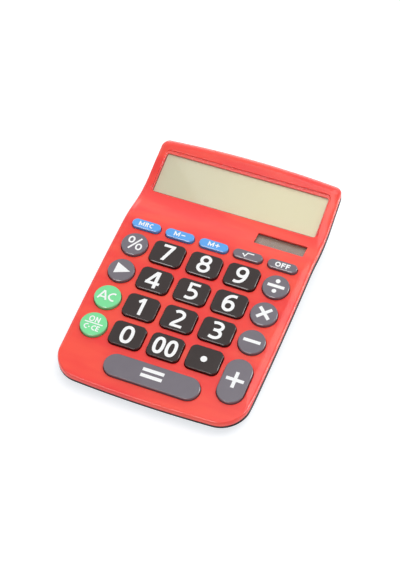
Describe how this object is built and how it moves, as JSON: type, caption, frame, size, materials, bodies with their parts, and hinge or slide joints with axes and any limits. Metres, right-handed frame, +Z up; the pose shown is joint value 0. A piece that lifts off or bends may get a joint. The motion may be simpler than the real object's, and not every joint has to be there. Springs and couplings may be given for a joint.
{
  "type": "desktop calculator",
  "caption": "Slim desktop calculator: red front cover with a stepped display head and solar window, pressable black, grey, green and blue keys, dark rear case on rubber feet, battery hatch.",
  "frame": {"origin": "on the table plane, under the middle of the part's bounding box", "axes": "+X to the user's right, +Y from the user towards the display at the back, +Z up from the table"},
  "size_m": [0.104, 0.1562, 0.0303],
  "materials": {
    "red_cover": "glossy moulded coral red plastic",
    "dark_case": "satin dark grey-brown plastic",
    "black_key": "satin warm black key plastic",
    "grey_key": "semi-gloss mid grey key plastic",
    "green_key": "semi-gloss light green key plastic",
    "blue_key": "semi-gloss sky blue key plastic",
    "clear_window": "clear polished acrylic",
    "lcd_glass": "display glass over a matt olive-cream reflector",
    "solar_glass": "thin-film solar cell on glass, brown",
    "white_plastic": "satin white plastic or print",
    "flex_film": "amber polyimide film",
    "silicone": "matt light grey silicone rubber",
    "board_laminate": "green solder resist on laminate",
    "chip_epoxy": "black epoxy blob",
    "cell_steel": "nickel-plated steel",
    "contact_spring_steel": "plated spring steel strip",
    "screw_steel": "zinc-plated steel",
    "foot_rubber": "matt black rubber"
  },
  "bodies": {
    "case": {"front_cover": "red_cover", "rear_cover": "dark_case", "display_window": "clear_window", "solar_window": "clear_window", "lcd_panel": "lcd_glass", "solar_cell": "solar_glass", "lcd_frame": "white_plastic", "display_flex": "flex_film", "key_mat": "silicone", "circuit_board": "board_laminate", "controller_chip": "chip_epoxy", "battery": "cell_steel", "battery_contact_plate": "contact_spring_steel", "battery_contact_spring": "contact_spring_steel", "case_screw_front_left": "screw_steel", "case_screw_front_right": "screw_steel", "case_screw_rear_left": "screw_steel", "case_screw_rear_right": "screw_steel", "board_screw_1": "screw_steel", "board_screw_2": "screw_steel", "board_screw_3": "screw_steel", "board_screw_4": "screw_steel", "foot_front_left": "foot_rubber", "foot_front_right": "foot_rubber", "foot_rear_left": "foot_rubber", "foot_rear_right": "foot_rubber"},
    "battery_door": {"battery_door": "dark_case"},
    "key_mrc": {"key_mrc": "blue_key"},
    "key_m_minus": {"key_m_minus": "blue_key"},
    "key_m_plus": {"key_m_plus": "blue_key"},
    "key_sqrt": {"key_sqrt": "grey_key"},
    "key_off": {"key_off": "grey_key"},
    "key_percent": {"key_percent": "grey_key"},
    "key_shift": {"key_shift": "grey_key"},
    "key_ac": {"key_ac": "green_key"},
    "key_on_c_ce": {"key_on_c_ce": "green_key"},
    "key_divide": {"key_divide": "grey_key"},
    "key_multiply": {"key_multiply": "grey_key"},
    "key_minus": {"key_minus": "grey_key"},
    "key_plus": {"key_plus": "grey_key"},
    "key_equals": {"key_equals": "grey_key"},
    "key_0": {"key_0": "black_key"},
    "key_1": {"key_1": "black_key"},
    "key_2": {"key_2": "black_key"},
    "key_3": {"key_3": "black_key"},
    "key_4": {"key_4": "black_key"},
    "key_5": {"key_5": "black_key"},
    "key_6": {"key_6": "black_key"},
    "key_7": {"key_7": "black_key"},
    "key_8": {"key_8": "black_key"},
    "key_9": {"key_9": "black_key"},
    "key_00": {"key_00": "black_key"},
    "key_point": {"key_point": "black_key"}
  },
  "joints": [
    {"name": "key_mrc_press", "type": "slide", "parent": "case", "child": "key_mrc", "axis": [0, 0.1132, -0.9936], "range_m": [0, 0.0008], "stiffness_N_per_m": 600, "deforming": ["key_mat"]},
    {"name": "key_m_minus_press", "type": "slide", "parent": "case", "child": "key_m_minus", "axis": [0, 0.1132, -0.9936], "range_m": [0, 0.0008], "stiffness_N_per_m": 600, "deforming": ["key_mat"]},
    {"name": "key_m_plus_press", "type": "slide", "parent": "case", "child": "key_m_plus", "axis": [0, 0.1132, -0.9936], "range_m": [0, 0.0008], "stiffness_N_per_m": 600, "deforming": ["key_mat"]},
    {"name": "key_sqrt_press", "type": "slide", "parent": "case", "child": "key_sqrt", "axis": [0, 0.1132, -0.9936], "range_m": [0, 0.0008], "stiffness_N_per_m": 600, "deforming": ["key_mat"]},
    {"name": "key_off_press", "type": "slide", "parent": "case", "child": "key_off", "axis": [0, 0.1132, -0.9936], "range_m": [0, 0.0008], "stiffness_N_per_m": 600, "deforming": ["key_mat"]},
    {"name": "key_percent_press", "type": "slide", "parent": "case", "child": "key_percent", "axis": [0, 0.1132, -0.9936], "range_m": [0, 0.0008], "stiffness_N_per_m": 600, "deforming": ["key_mat"]},
    {"name": "key_shift_press", "type": "slide", "parent": "case", "child": "key_shift", "axis": [0, 0.1132, -0.9936], "range_m": [0, 0.0008], "stiffness_N_per_m": 600, "deforming": ["key_mat"]},
    {"name": "key_ac_press", "type": "slide", "parent": "case", "child": "key_ac", "axis": [0, 0.1132, -0.9936], "range_m": [0, 0.0008], "stiffness_N_per_m": 600, "deforming": ["key_mat"]},
    {"name": "key_on_c_ce_press", "type": "slide", "parent": "case", "child": "key_on_c_ce", "axis": [0, 0.1132, -0.9936], "range_m": [0, 0.0008], "stiffness_N_per_m": 600, "deforming": ["key_mat"]},
    {"name": "key_divide_press", "type": "slide", "parent": "case", "child": "key_divide", "axis": [0, 0.1132, -0.9936], "range_m": [0, 0.0008], "stiffness_N_per_m": 600, "deforming": ["key_mat"]},
    {"name": "key_multiply_press", "type": "slide", "parent": "case", "child": "key_multiply", "axis": [0, 0.1132, -0.9936], "range_m": [0, 0.0008], "stiffness_N_per_m": 600, "deforming": ["key_mat"]},
    {"name": "key_minus_press", "type": "slide", "parent": "case", "child": "key_minus", "axis": [0, 0.1132, -0.9936], "range_m": [0, 0.0008], "stiffness_N_per_m": 600, "deforming": ["key_mat"]},
    {"name": "key_plus_press", "type": "slide", "parent": "case", "child": "key_plus", "axis": [0, 0.1132, -0.9936], "range_m": [0, 0.0008], "stiffness_N_per_m": 600, "deforming": ["key_mat"]},
    {"name": "key_equals_press", "type": "slide", "parent": "case", "child": "key_equals", "axis": [0, 0.1132, -0.9936], "range_m": [0, 0.0008], "stiffness_N_per_m": 600, "deforming": ["key_mat"]},
    {"name": "key_0_press", "type": "slide", "parent": "case", "child": "key_0", "axis": [0, 0.1132, -0.9936], "range_m": [0, 0.0008], "stiffness_N_per_m": 600, "deforming": ["key_mat"]},
    {"name": "key_1_press", "type": "slide", "parent": "case", "child": "key_1", "axis": [0, 0.1132, -0.9936], "range_m": [0, 0.0008], "stiffness_N_per_m": 600, "deforming": ["key_mat"]},
    {"name": "key_2_press", "type": "slide", "parent": "case", "child": "key_2", "axis": [0, 0.1132, -0.9936], "range_m": [0, 0.0008], "stiffness_N_per_m": 600, "deforming": ["key_mat"]},
    {"name": "key_3_press", "type": "slide", "parent": "case", "child": "key_3", "axis": [0, 0.1132, -0.9936], "range_m": [0, 0.0008], "stiffness_N_per_m": 600, "deforming": ["key_mat"]},
    {"name": "key_4_press", "type": "slide", "parent": "case", "child": "key_4", "axis": [0, 0.1132, -0.9936], "range_m": [0, 0.0008], "stiffness_N_per_m": 600, "deforming": ["key_mat"]},
    {"name": "key_5_press", "type": "slide", "parent": "case", "child": "key_5", "axis": [0, 0.1132, -0.9936], "range_m": [0, 0.0008], "stiffness_N_per_m": 600, "deforming": ["key_mat"]},
    {"name": "key_6_press", "type": "slide", "parent": "case", "child": "key_6", "axis": [0, 0.1132, -0.9936], "range_m": [0, 0.0008], "stiffness_N_per_m": 600, "deforming": ["key_mat"]},
    {"name": "key_7_press", "type": "slide", "parent": "case", "child": "key_7", "axis": [0, 0.1132, -0.9936], "range_m": [0, 0.0008], "stiffness_N_per_m": 600, "deforming": ["key_mat"]},
    {"name": "key_8_press", "type": "slide", "parent": "case", "child": "key_8", "axis": [0, 0.1132, -0.9936], "range_m": [0, 0.0008], "stiffness_N_per_m": 600, "deforming": ["key_mat"]},
    {"name": "key_9_press", "type": "slide", "parent": "case", "child": "key_9", "axis": [0, 0.1132, -0.9936], "range_m": [0, 0.0008], "stiffness_N_per_m": 600, "deforming": ["key_mat"]},
    {"name": "key_00_press", "type": "slide", "parent": "case", "child": "key_00", "axis": [0, 0.1132, -0.9936], "range_m": [0, 0.0008], "stiffness_N_per_m": 600, "deforming": ["key_mat"]},
    {"name": "key_point_press", "type": "slide", "parent": "case", "child": "key_point", "axis": [0, 0.1132, -0.9936], "range_m": [0, 0.0008], "stiffness_N_per_m": 600, "deforming": ["key_mat"]},
    {"name": "battery_door_lift", "type": "slide", "parent": "case", "child": "battery_door", "axis": [0, 0, -1], "range_m": [0, 0.008]}
  ]
}
